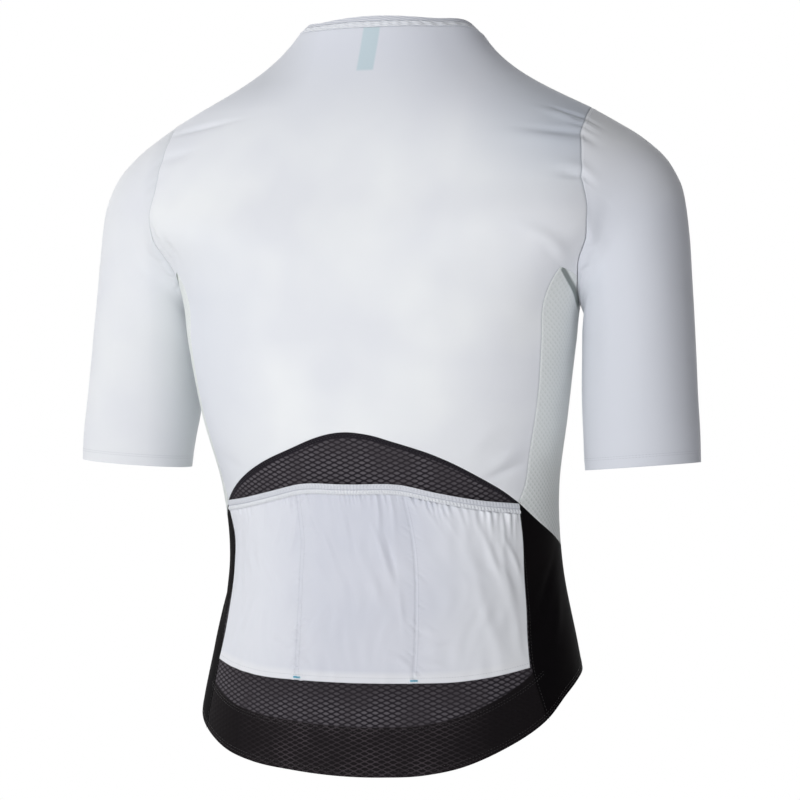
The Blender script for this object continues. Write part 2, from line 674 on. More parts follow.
# %% Plain knits
GRAIN_SIZE = 0.0012
PATCH_SIZE = 0.090
SEAM_WIDTH = 0.0010
SOFT_SEAMS_BELOW = -0.288       # the side seams lie flatter than the armholes
LABEL_HALF = 0.0075
LABEL_FOOT = -0.0036
BODY_TINTS = [      # lavender towards the neck, greyer on the right yoke, the label showing through
    ("#E2E5EC", ("x", 0.06, 0.14), ("z", -0.12, -0.20)),
    ("#E2E5EE", ("z", -0.100, 0.020)),
    ("#D2D5DC", ("x", 0.05, 0.10), ("z", -0.035, -0.010)),
    ("#CFD5DF", ("x", -0.09, -0.17), ("z", -0.13, -0.06)),
    ("#CCDCE4", ("aside", LABEL_HALF - 0.0010, LABEL_HALF + 0.0008, 1.0, 0.0),
     ("z", LABEL_FOOT - 0.0010, LABEL_FOOT + 0.0010), ("y", 0.015, 0.020)),
]
SLEEVE_TINTS = [    # greyer inside the left sleeve and on the right one
    ("#D6DADF", ("x", 0.205, 0.170), ("x", 0.00, 0.05)),
    ("#D9DCE4", ("x", -0.09, -0.17), ("z", -0.07, -0.13)),
]
POCKET_TINTS = [    # whiter at both sides, and at the turned edge, which lets less black through
    ("#F0F2F6", ("x", -0.05, -0.13)),
    ("#ECEEF4", ("x", 0.03, 0.09, 0.0, 0.7)),
    ("#F2F3F6", ("from foot", 0.0060, 0.0105, 0.6, 0.0)),
]
GROOVE_RAMPS = (("from seam", 0.0, SEAM_WIDTH, 1.0, 0.0), ("x", 0.06, 0.14, 1.0, 0.35),
                ("z", SOFT_SEAMS_BELOW, SOFT_SEAMS_BELOW + 0.01, 0.3, 1.0))


def knit_finish(name, light, dark, groove, shine=0.15, tints=()):
    """A plain knit that varies between two close colours; tints paint parts of it."""
    finish, tree = new_finish(name, 0.85, Sheen_Weight=shine, Specular_IOR_Level=2 * shine)
    at = measures(tree)
    at["patches"] = add(tree, "ShaderNodeTexNoise", {
        "Vector": at["place"], "Scale": 1 / PATCH_SIZE, "Detail": 2.0, "Roughness": 0.5})
    colour = layered(tree, at, light, [(dark, ("patches", 0.35, 0.65)), *tints,
                                       (groove, *GROOVE_RAMPS)])
    fine = add(tree, "ShaderNodeTexNoise", {
        "Vector": at["place"], "Scale": 1 / GRAIN_SIZE, "Detail": 3.0, "Roughness": 0.6})
    dress(tree, colour, fine, strength=0.6, distance=0.00006)
    return finish


WHITE_KNIT = knit_finish("White warp knit", "#F2F4F6", "#E9EBF0", "#B4B9C1", tints=BODY_TINTS)
SLEEVE_KNIT = knit_finish("White sleeve knit", "#EDEFF2", "#E6E8EE", "#B4B9C1",
                          tints=SLEEVE_TINTS)
POCKET_KNIT = knit_finish("White pocket knit over black", "#DDDFE8", "#D4D7E2", "#A9ADB8",
                          tints=POCKET_TINTS)
BLACK_KNIT = knit_finish("Black warp knit", "#110F10", "#0D0B0D", "#080708", shine=0.01)
print("knits:", WHITE_KNIT.name, SLEEVE_KNIT.name, POCKET_KNIT.name, BLACK_KNIT.name)

# %% [markdown]
# The mesh cloths are knitted with rows of lens-shaped openings, staggered from row to row. On
# the tail the openings are 9.8 mm apart along a row and 4.3 mm from one like row to the next.
# Two crossing families of slanted waves draw such a lattice. On the black mesh the openings look
# grey between near-black threads, and on the white one fine white threads cross a grey ground.
# The bump follows the same lattice, so each opening lies a little lower than its threads.

# %% Mesh cloths
CELL_WIDTH = 0.0098
CELL_HEIGHT = 0.0043
SIDE_CELL_WIDTH = 0.0066
SIDE_CELL_HEIGHT = 0.0052
PLAIN_BAND = 0.0045     # closely knitted band along the arch
TURN_UP = 0.042         # doubled hem of the tail
EDGE_BLUR = 0.0006
DRIFT_SIZE = 0.028      # how far apart the two layers of mesh meet alike
HORN_FOLD = [(-77.6, -0.1752), (-89.0, -0.1950)]    # the wearer's right; the left mirrors it
HORN_FOLD_WIDTH = 0.0052
TAIL_MIDDLE = ("aside", 0.060, 0.115, 1.0, 0.0)
TAIL_TINTS = [      # uneven layers, shade under the pockets, the plain band
    ("#363236", ("drift", 0.38, 0.62, 0.0, 0.55)),
    ("#2C282C", ("from foot", TURN_UP + 0.012, TURN_UP + 0.036, 0.0, 0.6),
     ("from foot", 0.16, 0.12)),
    ("#221F25", ("from top", PLAIN_BAND, PLAIN_BAND * 1.3, 1.0, 0.0)),
]
HEM_TINTS = [       # the doubled hem: threads that come and go on a darker ground
    ("#1C191B", TAIL_MIDDLE),
    ("#433D41", ("openings", 0.0, 0.28, 1.0, 0.0), ("drift", 0.38, 0.62, 1.0, 0.40), TAIL_MIDDLE),
]


def lattice(tree, at, width, height):
    """A number from 0 on the threads to 1 in the middle of each opening."""
    across, up = (add(tree, "ShaderNodeMath", (at[way], math.pi / size), operation="MULTIPLY")
                  for way, size in (("across", width), ("up", height)))
    waves = []
    for way in ("ADD", "SUBTRACT"):
        slanted = add(tree, "ShaderNodeMath", (across, up), operation=way)
        wave = add(tree, "ShaderNodeMath", (slanted,), operation="SINE")
        waves.append(add(tree, "ShaderNodeMath", (wave, wave), operation="MULTIPLY"))
    return add(tree, "ShaderNodeMath", waves, operation="MULTIPLY")


def mesh_finish(name, thread, opening, width, height, depth=0.0004, first=0.01, full=0.40):
    """Mesh cloth whose openings have their own colour, with its tree, measures and colour."""
    finish, tree = new_finish(name, 0.8, Specular_IOR_Level=0.06)
    at = measures(tree)
    cells = lattice(tree, at, width, height)
    at["openings"] = add(tree, "ShaderNodeMapRange", (cells, first, full))
    colour = layered(tree, at, thread, [(opening, ("openings", 0.0, 1.0))])
    dress(tree, colour, cells, strength=0.7, distance=depth, invert=True)
    return finish, tree, at, colour


def tail_mesh_finish():
    """The tail's mesh, closely knitted along the arch and doubled at the turned-up hem."""
    finish, tree, at, colour = mesh_finish("Black warp-knitted mesh", "#221F24", "#5F5B60",
                                           CELL_WIDTH, CELL_HEIGHT)
    at["drift"] = add(tree, "ShaderNodeTexNoise", {
        "Vector": at["place"], "Scale": 1 / DRIFT_SIZE, "Detail": 3.0, "Roughness": 0.6})
    doubled = layered(tree, at, "#151214", HEM_TINTS)
    in_hem = ("from foot", TURN_UP - EDGE_BLUR, TURN_UP + EDGE_BLUR, 1.0, 0.0)
    dress(tree, layered(tree, at, colour, [*TAIL_TINTS, (doubled, in_hem)]))
    return finish


def side_mesh_finish():
    """White mesh; no light reaches the fold that runs down from the tip of its horn."""
    finish, tree, at, colour = mesh_finish("White side mesh", "#F1F3F3", "#E1E6E4",
                                           SIDE_CELL_WIDTH, SIDE_CELL_HEIGHT, depth=0.0002,
                                           first=0.0, full=0.16)
    tip, foot = skin(np.array(HORN_FOLD)) * np.array([-1.0, 1.0, 1.0])
    length = float(np.linalg.norm(foot - tip))
    way = Vector(unit(foot - tip))
    left = add(tree, "ShaderNodeCombineXYZ", (at["aside"], at["y"], at["z"]))
    from_tip = add(tree, "ShaderNodeVectorMath", (left, Vector(tip)), operation="SUBTRACT")
    at["along"] = add(tree, "ShaderNodeVectorMath", (from_tip, way),
                      operation="DOT_PRODUCT").outputs["Value"]
    spread = add(tree, "ShaderNodeMapRange", (at["along"], 0.0, length, HORN_FOLD_WIDTH / 2,
                                              HORN_FOLD_WIDTH))
    off = add(tree, "ShaderNodeVectorMath", (from_tip, way), operation="CROSS_PRODUCT")
    off = add(tree, "ShaderNodeVectorMath", (off,), operation="LENGTH").outputs["Value"]
    at["off"] = add(tree, "ShaderNodeMath", (off, spread), operation="DIVIDE")
    dress(tree, layered(tree, at, colour, [
        ("#E9EDEC", ("z", -0.40, -0.30, 0.0, 0.7)),
        ("#959C9A", ("off", 0.55, 1.0, 1.0, 0.0), ("along", -0.001, 0.001))]))
    return finish


TAIL_MESH = tail_mesh_finish()
HEM_MESH = mesh_finish("Black mesh turned up", "#242124", "#161416", CELL_WIDTH, CELL_HEIGHT)[0]
SIDE_MESH = side_mesh_finish()
print("mesh cells in mm:", round(1000 * CELL_WIDTH, 1), "x", round(1000 * CELL_HEIGHT, 1))

# %% [markdown]
# The body is eight panels: the back with both yokes, two fronts, a mesh and a black panel on
# each side, and the mesh tail. A maker cuts them flat and sews them; here each is its net of
# spots laid on the torso.

# %% Body panels
SIDES = ((1, "left"), (-1, "right"))
cloth("back_panel", panel_points(back_net()), WHITE_KNIT)
cloth("lower_back_mesh", panel_points(tail_net(), last=False), TAIL_MESH)
for side, word in SIDES:
    cloth(f"front_{word}", panel_points(front_net(side)[::2], last=False), WHITE_KNIT)
    cloth(f"side_mesh_{word}", panel_points(side_mesh_net(side)), SIDE_MESH)
    cloth(f"side_lower_{word}", panel_points(side_lower_net(side), last=False), BLACK_KNIT)

# %% [markdown]
# A sleeve is a tube from the armhole to a round cuff, which is cut raw and doesn't fray. Its
# first ring is the armhole's own seam, so it meets the body exactly, and the rings below go out
# and down by the shares in the table. Its own few creases fan out from the foot of the armhole.

# %% Sleeves
CUFF_CENTRE = (0.2305, -0.003, -0.341)
CUFF_HALF_WIDTH = 0.0490
CUFF_HALF_DEPTH = 0.0490
ARM_DIRECTION = (0.075, 0.0, -1.0)
ARMHOLE_CENTRE_Y = -0.004
ARMHOLE_CENTRE_Z = -0.115
ARM_RADIUS = 0.055      # turns an angle round the arm into a length along the cloth
BROAD_CREASES = 8       # of the body's creases, which the whole sleeve follows
CREASE_FADE = 0.012     # how far the body's other creases run into the sleeve
SleeveRing = namedtuple("SleeveRing", "out down forward fuller")
SLEEVE_RINGS = table(SleeveRing, (1, 1, MM, MM), [
    (0, 0, 0, 0), (0.222, 0.041, 2.2, 0), (0.438, 0.084, 6, 0), (0.63, 0.14, 9.8, 1),
    (0.724, 0.197, 12.8, 3), (0.77, 0.254, 14.8, 4.5), (0.812, 0.368, 15.5, 5),
    (0.838, 0.479, 13.8, 5), (0.87, 0.593, 11, 4.5), (0.905, 0.707, 8, 3.5), (0.945, 0.82, 4, 2),
    (0.98, 0.915, 1, 1), (1, 1, 0, 0),
])
RING_STEPS = 6
SLEEVE_CREASES = {1: table(Crease, CREASE_UNITS, [
    (146, -9, 48, 12, 1.6, -0.9), (155, -8, 60, 10, 1.4, -0.8), (128, -12, 36, 10, 1.6, -0.6),
    (212, -12, -44, 14, 1.8, -0.9),
]), -1: table(Crease, CREASE_UNITS, [
    (142, -11, 41, 14, 1.3, -0.9), (151, -7, 45, 7, 1.1, -0.8), (125, -9, 44, 9, 1.3, -0.7),
    (215, -10, -40, 13, 1.6, -0.9),
])}


def sleeve_points(side):
    """Rows from the armhole to the cuff, each a closed loop that starts at the shoulder seam."""
    loop = joined(seam(ARMHOLE_FRONT, ARMHOLE_SEGMENTS), seam(ARMHOLE_UNDER, UNDER_SEGMENTS)[::-1],
                  seam(ARMHOLE_BACK, ARMHOLE_SEGMENTS)[::-1])
    angle, level = (loop * np.array([side, 1.0])).T
    flip = np.array([side, 1.0, 1.0])
    broad = crease_depth(angle, level, CREASES[:BROAD_CREASES])[:, None]
    start = (torso(angle, level) + outward(angle, level) * broad) * flip
    pulled = skin(loop * np.array([side, 1.0])) * flip - start
    axis = unit(np.array(ARM_DIRECTION))
    out_way = unit(np.array([1.0, 0.0, 0.0]) - axis * axis[0])
    back_way = np.array([0.0, 1.0, 0.0])
    turn = np.arctan2(start[:, 1] - ARMHOLE_CENTRE_Y, start[:, 2] - ARMHOLE_CENTRE_Z)[:, None]
    spoke = np.cos(turn) * out_way + np.sin(turn) * back_way
    cuff = (np.array(CUFF_CENTRE) + CUFF_HALF_WIDTH * np.cos(turn) * out_way
            + CUFF_HALF_DEPTH * np.sin(turn) * back_way)
    marks = np.arange(len(SLEEVE_RINGS))
    steps = np.linspace(0, marks[-1], marks[-1] * RING_STEPS + 1)
    steps = np.insert(steps, 1, EDGE_SHARE / RING_STEPS)
    out, down, forward, fuller = (smooth(steps, marks, column)[:, None, None]
                                  for column in zip(*SLEEVE_RINGS))
    share = np.concatenate([out, out, down], -1)
    points = start + (cuff - start) * share - back_way * forward + spoke * fuller
    walked = run_lengths(points, 0)
    points += pulled * np.exp(-(walked / CREASE_FADE) ** 2)[..., None]
    points[:, -1] = points[:, 0]
    normals = grid_normals(points, tube=True)
    depth = crease_depth(np.degrees(turn[None, :, 0]), -walked, SLEEVE_CREASES[side],
                         ARM_RADIUS)
    depth[0] -= SEAM_SINK
    depth[:, -1] = depth[:, 0]
    normals[:, -1] = normals[:, 0]
    points = points + normals * depth[..., None]
    return points if side > 0 else (points * np.array([-1.0, 1.0, 1.0]))[:, ::-1]


for side, word in SIDES:
    cloth(f"sleeve_{word}", sleeve_points(side), SLEEVE_KNIT, tube=True)

# %% [markdown]
# The collar is a low band of doubled knit. Its lower half carries a zigzag overlock in white
# thread that puckers it a little, and its upper half is greyer, because the light meets it at a
# lower angle. A satin label with a soft gloss is sewn inside the back neck.

# %% Collar and label
WAVE_SPACING = math.pi / 10     # of a wave texture's bands at scale 1
ZIGZAG_PITCH = 0.002244
SATIN_PITCH = 0.001963  # far coarser than the real threads, so that it shows
COLLAR_FOLD = 0.0053    # up the band, where the stitched half ends
COLLAR_HEIGHTS = [(0, 0.0105), (72, 0.0105), (107, 0.0190), (180, 0.0200)]
COLLAR_LEAN_BACK = 20.0
COLLAR_LEAN_SIDE = 48.0
COLLAR_ROWS = 12
PUCKER_PITCH = 7.5      # degrees round the neck
PUCKER_DEPTH = 0.0005
LABEL_LEVEL = -0.022


def collar_point(angle, height):
    """A place on the collar band, at a height along the cloth above the neck seam."""
    turn = np.radians(angle)
    lean = np.radians(COLLAR_LEAN_BACK
                      + (COLLAR_LEAN_SIDE - COLLAR_LEAN_BACK) * np.sin(turn) ** 2)
    way = stacked(-np.sin(turn) * np.sin(lean), -np.cos(turn) * np.sin(lean), np.cos(lean))
    return neck(angle) + way * height[..., None]


def collar_finish():
    """The collar's knit: a white stitched half below and a greyer half above."""
    finish, tree = new_finish("Collar knit", 0.85, Sheen_Weight=0.15, Specular_IOR_Level=0.3)
    at = measures(tree)
    at["fold"] = add(tree, "ShaderNodeMath", (at["from foot"], COLLAR_FOLD, 0.0004),
                     operation="COMPARE")
    slanted = add(tree, "ShaderNodeMapping", {"Vector": at["cloth"],
                                              "Rotation": (0, 0, math.radians(80))})
    at["zigzag"] = add(tree, "ShaderNodeTexWave", {
        "Vector": slanted, "Scale": WAVE_SPACING / ZIGZAG_PITCH, "Distortion": 4.0,
        "Detail": 1.0, "Detail Scale": 0.6}, bands_direction="X")
    colour = layered(tree, at, "#E1E4EB", [
        ("#CDD0DA", ("from foot", COLLAR_FOLD - 0.0003, COLLAR_FOLD + 0.0003)),
        ("#A9ADB8", ("fold", 0.0, 1.0)), ("#F6F7F9", ("zigzag", 0.55, 0.95, 0.0, 0.55))])
    dress(tree, colour, at["zigzag"], strength=0.7, distance=0.0002)
    return finish


def collar_points():
    neckline = joined(front_net(-1)[0], back_net()[0], front_net(1)[0])[:, 0]
    angle = np.broadcast_to(neckline, (COLLAR_ROWS + 1, len(neckline)))
    share = np.linspace(1, 0, COLLAR_ROWS + 1)[:, None]
    points = collar_point(angle, by_angle(COLLAR_HEIGHTS, angle) * share)
    points[:, 0, 0] = -(ZIP_TAPE_HALF + SEAM_GAP)
    points[:, -1, 0] = ZIP_TAPE_HALF + SEAM_GAP
    uneven = np.sin(np.radians(angle) * 3.7) * 1.4
    pucker = np.sin(angle / PUCKER_PITCH * 2 * math.pi + uneven)
    depth = PUCKER_DEPTH * pucker * np.sin(np.clip(share * 2, 0, 1) * math.pi)
    return points + grid_normals(points) * depth[..., None]


def label_points():
    half = math.degrees(LABEL_HALF / NECK_BACK_DEPTH)
    angle, level = np.meshgrid(np.linspace(-half, half, 13), np.linspace(-0.0005, LABEL_LEVEL, 25))
    points = skin(stacked(angle, level), -LAYER)
    points[..., 0] *= LABEL_HALF / np.abs(points[:, :1, 0])
    return points


SATIN = ribbon_finish("Blue satin ribbon", 0.4, 0.3, "#8CC4D6", "#A9D8E4", 0.00005, bands="X",
                      Scale=WAVE_SPACING / SATIN_PITCH, Distortion=0.4)
cloth("collar", collar_points(), collar_finish(), upright=False)
cloth("neck_label", label_points(), SATIN, wall=0.0004, upright=False)

# %% [markdown]
# The pocket cloth is cut wider than the elastic that holds its mouths, so it gathers under it.
# Each gather is a ridge that is high at the elastic and fades down the cloth, leaning a little
# as it goes. They are placed by hand, closest together towards the wearer's right. Below them
# run a few long soft folds, where the full pockets hang from the elastic and the dividers.

# %% Pockets
PocketLine = namedtuple("PocketLine", "level right_edge right_divider left_divider left_edge")
POCKET_ANGLE = 66.0
POCKET_TOP = [(0, -0.3548), (25, -0.3560), (38, -0.3620), (52, -0.3681), (66, -0.3721)]
POCKET_BOTTOM = [(0, -0.5238), (25, -0.5230), (42, -0.5215), (53, -0.5180), (66, -0.5115)]
DIVIDER_ANGLE = 25.0
POCKET_LINES = table(PocketLine, (MM, 1, 1, 1, 1), [   # real angles of edges and dividers
    (-520, -64.2, -24.4, 25.2, 65.6), (-491, -64.2, -25, 24.9, 63.2),
    (-461, -65.1, -25.1, 24.5, 62.8), (-431, -65.8, -25.2, 24, 62.4),
    (-401, -66.7, -24.9, 23.1, 61.6), (-381, -66.4, -24, 23.9, 64.6), (-362, -66, -22.9, 24.6, 66),
])
ELASTIC_WIDTH = 0.009
ELASTIC_MIDDLE = 0.54           # of its width, where a stitched groove parts it in two
POCKET_PUFF = 0.0024
MOUTH_STAND = 0.0008
POCKET_COLUMNS = 480
POCKET_ROWS = 84
SCALLOP_PITCH = 0.0064          # small gathers between the placed ones
SCALLOP_HEIGHT = 0.0012
RIB_PITCH = 0.0030
RIB_DEPTH = 0.00045
YARN_SIZE = 0.000909
PUCKER_HEIGHT = 0.0010
PUCKER_REACH = 0.0090
PUCKER_SPACING = 0.0050
CRUMPLE_HEIGHT = 0.00028
GATHER_SPREAD = 0.05            # the distance down over which a gather doubles its width
LEAN_RUN = 0.02                 # the distance down that a gather's lean is said for
FADE_POWER = 1.5                # gathers end more suddenly than a plain fade
GATHER_WAVES = [(61, 0, 2.7), (147, 1, 1.7)]
PUCKER_WAVES = [(310, 0, 1.3), (171, 2, 1.7)]
DIVIDER_GROOVE = 0.0003         # where the divider's stitches pull the cloth down
DIVIDER_GROOVE_HALF = 0.0016
CALM_WIDTH = 0.004              # folds fade beside the dividers' stitches
ELASTIC_STAND = 0.0003          # over the pocket cloth
UPPER_CORD = 0.0005
LOWER_CORD = 0.0009
ELASTIC_COLUMNS = 720
Gather = namedtuple("Gather", "angle half_width height length lean")
GATHERS = table(Gather, (1, 1, MM, MM, 1), [
    (63, 1, 0.3, 8, 0.2), (56, 1.4, 0.4, 10, 0.6), (47.5, 1.3, 0.5, 10, 1),
    (39, 1.1, 1.2, 15, 2.6), (33.5, 1.2, 0.6, 9, 1.2), (28.4, 0.9, 1.2, 12, 2.2),
    (26.2, 0.5, 0.6, 6, 0.4), (23.4, 0.6, 0.7, 6, -0.6), (20.6, 0.8, 1.2, 9, -3.6),
    (16, 1.2, 0.5, 7, -1), (10.4, 1.2, 0.6, 10, -0.4), (4.6, 1.3, 0.4, 7, 0),
    (-0.8, 1.2, 0.4, 7, 0.2), (-5.8, 1.1, 0.6, 12, 0.2), (-10, 0.8, 0.8, 8, 0.5),
    (-13.3, 0.9, 1.4, 30, 0.9), (-16.6, 0.6, 0.9, 10, 0.6), (-19.8, 0.9, 1.4, 28, 1.1),
    (-22.6, 0.5, 1, 7, 0.2), (-27.4, 0.7, 1.1, 8, -2.2), (-31, 0.9, 1.4, 14, -4),
    (-34.2, 0.8, 1.1, 8, -3), (-36.8, 0.9, 1.5, 15, -3.4), (-40.2, 0.9, 1.4, 9, -1.2),
    (-43.7, 0.9, 1.5, 13, -0.8), (-46.5, 0.8, 1.4, 8, 0), (-49.2, 0.8, 1.5, 11, 0.3),
    (-51.7, 0.7, 1.4, 8, 0), (-54, 0.7, 1.5, 16, 0.4), (-56.3, 0.7, 1.5, 9, 0.2),
    (-58.9, 0.7, 1.6, 24, 0.8), (-61.3, 0.7, 1.5, 12, 0.4), (-63.5, 0.6, 1.3, 18, 0.6),
])
POCKET_FOLDS = table(Crease, CREASE_UNITS, [
    (-58, -430, 78, 42, 5, 1.4), (-53, -415, 70, 34, 4, 1.2), (-47, -435, 74, 34, 6, 1),
    (-61.5, -418, 62, 20, 3.4, 1.4), (-54, -485, 66, 26, 6, 0.9), (-33, -493, -14, 12, 3.2, 1),
    (-31, -506, 12, 10, 2.6, 0.8), (-12, -413, 72, 20, 3.4, 1.2), (-15.5, -418, 76, 18, 3, -1),
    (-8, -440, 62, 24, 6, 0.8), (-17.5, -502, 16, 12, 3, 0.8), (8, -455, -30, 28, 8, 0.6),
    (18, -487, -38, 14, 3.4, 0.8), (32, -495, 20, 14, 3.4, 0.9), (36, -395, -58, 16, 3.4, 0.8),
    (45, -460, 84, 50, 8, 0.9), (57, -450, 80, 40, 5, -0.9), (59, -396, -40, 12, 2.8, 1),
    (51, -388, -62, 14, 2.6, 0.9), (28.5, -398, -70, 16, 2.8, 0.9), (19.5, -392, 66, 16, 3, 1),
    (13, -405, 58, 18, 3.2, 0.8), (3, -392, 82, 18, 3.4, 0.7), (-19, -460, 80, 20, 3.6, 0.8),
    (22, -508, 24, 8, 2.2, 0.9), (29, -510, -28, 8, 2.2, 0.8), (-21, -506, 30, 8, 2.2, 0.9),
    (-29.5, -478, 22, 9, 2.4, 0.8),
])


def pocket_puff(angles):
    """How full each of the three pockets stands, from 0 at its seams to 1 at its middle."""
    inner = np.cos(np.clip(angles / DIVIDER_ANGLE, -1, 1) * math.pi / 2)
    span = POCKET_ANGLE - DIVIDER_ANGLE
    outer = np.sin(np.clip((np.abs(angles) - DIVIDER_ANGLE) / span, 0, 1) * math.pi)
    return np.where(np.abs(angles) < DIVIDER_ANGLE, inner, outer)


def tightness(angle):
    """How tightly the elastic draws in the cloth: most towards the wearer's right."""
    return 0.55 + 0.45 / (1 + np.exp((angle + 18) / 8))


def wander(x, waves):
    """A sum of sines, each with its rate, phase and height, that makes a ripple uneven."""
    return sum(height * np.sin(x * rate + phase) for rate, phase, height in waves)


def gather_depth(angle, below):
    """Ridges under the elastic; below is the distance down from it."""
    depth = np.zeros(angle.shape)
    for gather in GATHERS:
        middle = gather.angle + gather.lean * below / LEAN_RUN
        width = gather.half_width * (1 + below / GATHER_SPREAD)
        depth += (gather.height * np.exp(-((angle - middle) / width) ** 2)
                  * np.exp(-(below / gather.length) ** FADE_POWER))
    run = angle * DEGREE
    scallop = np.sin(run / SCALLOP_PITCH * 2 * math.pi + wander(run, GATHER_WAVES))
    scallop *= SCALLOP_HEIGHT * (0.6 + 0.4 * np.sin(run * 83 + 2)) * tightness(angle)
    length = 0.0055 + 0.0025 * np.sin(run * 109)
    depth += scallop * np.exp(-(below / length) ** FADE_POWER)
    pinned = np.minimum(np.abs(np.abs(angle) - DIVIDER_ANGLE), POCKET_ANGLE - np.abs(angle))
    return depth * np.clip(pinned / 1.5, 0, 1)


def pocket_place(angle, level):
    """The real angle on the body of a place in the evenly divided pocket cloth."""
    levels, *lines = zip(*POCKET_LINES)
    lines = [smooth(level, levels, line) for line in lines]
    marks = [-POCKET_ANGLE, -DIVIDER_ANGLE, DIVIDER_ANGLE, POCKET_ANGLE]
    place = np.zeros(level.shape)
    for k in range(3):
        share = (angle - marks[k]) / (marks[k + 1] - marks[k])
        inside = (share >= 0) & (share <= 1)
        place = np.where(inside, lines[k] + (lines[k + 1] - lines[k]) * share, place)
    return place


def pocket_spots():
    angles = np.linspace(-POCKET_ANGLE, POCKET_ANGLE, POCKET_COLUMNS + 1)
    top = by_angle(POCKET_TOP, angles) - ELASTIC_WIDTH
    share = np.linspace(0, 1, POCKET_ROWS + 1)[:, None] ** 1.2
    level = top + (by_angle(POCKET_BOTTOM, angles) - top) * share
    return np.broadcast_to(angles, level.shape), level, share, top - level


def divider_puckers(aside, level, share):
    """Small slanted ripples that the tight divider stitches draw beside them."""
    ripple = np.sin((level + aside * 0.45) / PUCKER_SPACING * 2 * math.pi
                    + wander(level, PUCKER_WAVES))
    uneven = 0.6 + 0.4 * np.sin(level * 233 + np.sign(aside) * 1.4)
    return (PUCKER_HEIGHT * ripple * uneven * np.exp(-(aside / PUCKER_REACH) ** 2)
            * (0.30 + 0.70 * share ** 2))


def slackness(run):
    """The cloth lies a little looser towards the wearer's left."""
    return 1.0 + 0.7 / (1 + np.exp(-(run - 0.02) / 0.01))


def crumples(run, level):
    """Faint uneven creasing of the thin cloth, mostly down its length."""
    sway = np.sin(level * 83 + 1) * 1.7 + np.sin(run * 47) * 1.3 + np.sin(level * 37) * 2.1
    return (CRUMPLE_HEIGHT * np.sin(run * 290 + sway) * slackness(run)
            * (0.5 + 0.5 * np.sin(level * 140 + np.sin(run * 71 + 2) * 2.3)))


def pocket_points():
    angle, level, share, below = pocket_spots()
    fullness = np.sin(np.clip(1.05 - share, 0, 1) * math.pi / 2)
    run = angle * DEGREE
    aside = np.abs(run) - DIVIDER_ANGLE * DEGREE
    divider = np.abs(aside)
    free = (np.clip(divider / CALM_WIDTH, 0, 1)
            * np.clip((POCKET_ANGLE - np.abs(angle)) / 3, 0, 1))
    out = (LAYER + POCKET_PUFF * pocket_puff(angle) * fullness + gather_depth(angle, below)
           + (crease_depth(angle, level, POCKET_FOLDS) + crumples(run, level)) * free
           + divider_puckers(aside, level, share) * slackness(run)
           - DIVIDER_GROOVE * np.exp(-(divider / DIVIDER_GROOVE_HALF) ** 2))
    return skin(stacked(pocket_place(angle, level), level), out)


def elastic_points():
    """Two ribbed cords side by side, the lower one fuller, with stitches between them."""
    angles = np.linspace(-POCKET_ANGLE, POCKET_ANGLE, ELASTIC_COLUMNS + 1)
    top = by_angle(POCKET_TOP, angles)
    share = np.linspace(0, 1, 19)[:, None]
    level = top - ELASTIC_WIDTH * share
    angle = np.broadcast_to(angles, level.shape)
    run = angle * DEGREE
    ribs = np.sin(run / RIB_PITCH * 2 * math.pi + np.sin(run * 90) * 0.9)
    upper = np.sin(np.clip(share / ELASTIC_MIDDLE, 0, 1) * math.pi)
    lower = np.sin(np.clip((share - ELASTIC_MIDDLE) / (1 - ELASTIC_MIDDLE), 0, 1) * math.pi)
    out = (LAYER + ELASTIC_STAND + (POCKET_PUFF + MOUTH_STAND * (1 - share)) * pocket_puff(angle)
           + UPPER_CORD * upper + LOWER_CORD * lower
           + RIB_DEPTH * ribs * tightness(angle) * (0.6 * upper + lower))
    return skin(stacked(pocket_place(angle, level), level), out)


def elastic_finish():
    """Narrow white elastic: rubber cords wrapped in white yarn, greyer above its groove."""
    finish, tree = new_finish("White ribbed elastic", 0.7, Sheen_Weight=0.2)
    at = measures(tree)
    middle = ELASTIC_WIDTH * ELASTIC_MIDDLE
    at["groove"] = add(tree, "ShaderNodeMath", (at["from top"], middle, 0.0003),
                       operation="COMPARE")
    at["ribs"] = add(tree, "ShaderNodeTexWave", {
        "Vector": at["cloth"], "Distortion": 0.6, "Scale": WAVE_SPACING / RIB_PITCH},
        bands_direction="X")
    at["yarn"] = add(tree, "ShaderNodeTexNoise", {
        "Vector": at["place"], "Scale": 1 / YARN_SIZE, "Detail": 2.0})
    colour = layered(tree, at, "#DCDEE5", [
        ("#ECEEF2", ("from top", middle - 0.0004, middle + 0.0004)),
        ("#B4B7C3", ("groove", 0.0, 1.0)), ("#A9ADBA", ("ribs", 0.0, 0.6, 0.35, 0.0)),
        ("#C3C6CF", ("yarn", 0.45, 0.70, 0.0, 0.5))])
    dress(tree, colour, at["yarn"])
    return finish


cloth("pocket_panel", pocket_points(), POCKET_KNIT)
cloth("pocket_elastic", elastic_points(), elastic_finish())

# %% [markdown]
# The tail's hem is folded up inside by 42 mm. From outside it shows only as a darker band in the
# mesh, which the tail's finish already draws; the fold itself is here.

# %% Hem turned up inside
TURN_UP_DRAW = 0.975    # how its upper edge is drawn in beside the hem's edge
hem = tail_net()[-1]
share = np.linspace(1, 0, 13)[:, None]
turned_up = stacked(hem[:, 0] * np.linspace(TURN_UP_DRAW, 1.0, 13)[:, None],
                    hem[:, 1] + TURN_UP * share)
cloth("hem_turn_up", skin(turned_up, -LAYER), HEM_MESH)

# %% [markdown]
# Stitches repeat along a path, so Geometry Nodes lay them. The tree takes a polyline, walks
# along it in equal steps and puts one short thread at each step, lying on the cloth. The
# polyline's points know which way the cloth faces. Pitch, length, thickness, slant and the seed
# of a slight unevenness are inputs. The same tree lays bar tacks and the turns of the zip's coil.

